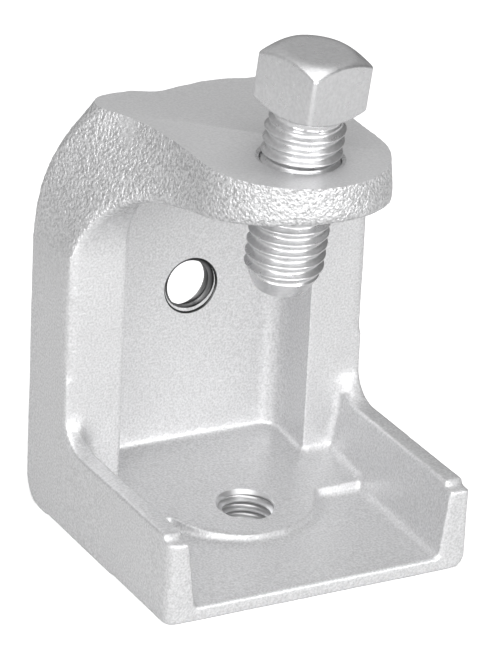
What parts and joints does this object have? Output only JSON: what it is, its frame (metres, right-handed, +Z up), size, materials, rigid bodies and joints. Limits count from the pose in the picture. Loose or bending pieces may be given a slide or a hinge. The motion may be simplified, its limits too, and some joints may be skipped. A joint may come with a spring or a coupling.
{
  "type": "beam clamp",
  "caption": "Cast-iron C-shaped beam clamp with a walled tray base, tapped holes in base and back, and a square-head set screw through its arm.",
  "frame": {"origin": "centre of the base's tapped hole, on the underside the clamp stands on", "axes": "+Z up from the tray to the arm, +Y from the open jaw to the back web, +X across the width"},
  "size_m": [0.0548, 0.0509, 0.0881],
  "materials": {
    "plated_casting": "bright zinc plating over a pebbled as-cast skin",
    "plated_steel": "bright zinc plating over machined steel"
  },
  "bodies": {
    "clamp": {"clamp_body": "plated_casting"},
    "screw": {"set_screw": "plated_steel"}
  },
  "joints": [
    {"name": "screw_travel", "type": "slide", "parent": "clamp", "child": "screw", "axis": [-0.0433, 0.1166, -0.9922], "range_m": [-0.0135, 0.0067]}
  ]
}
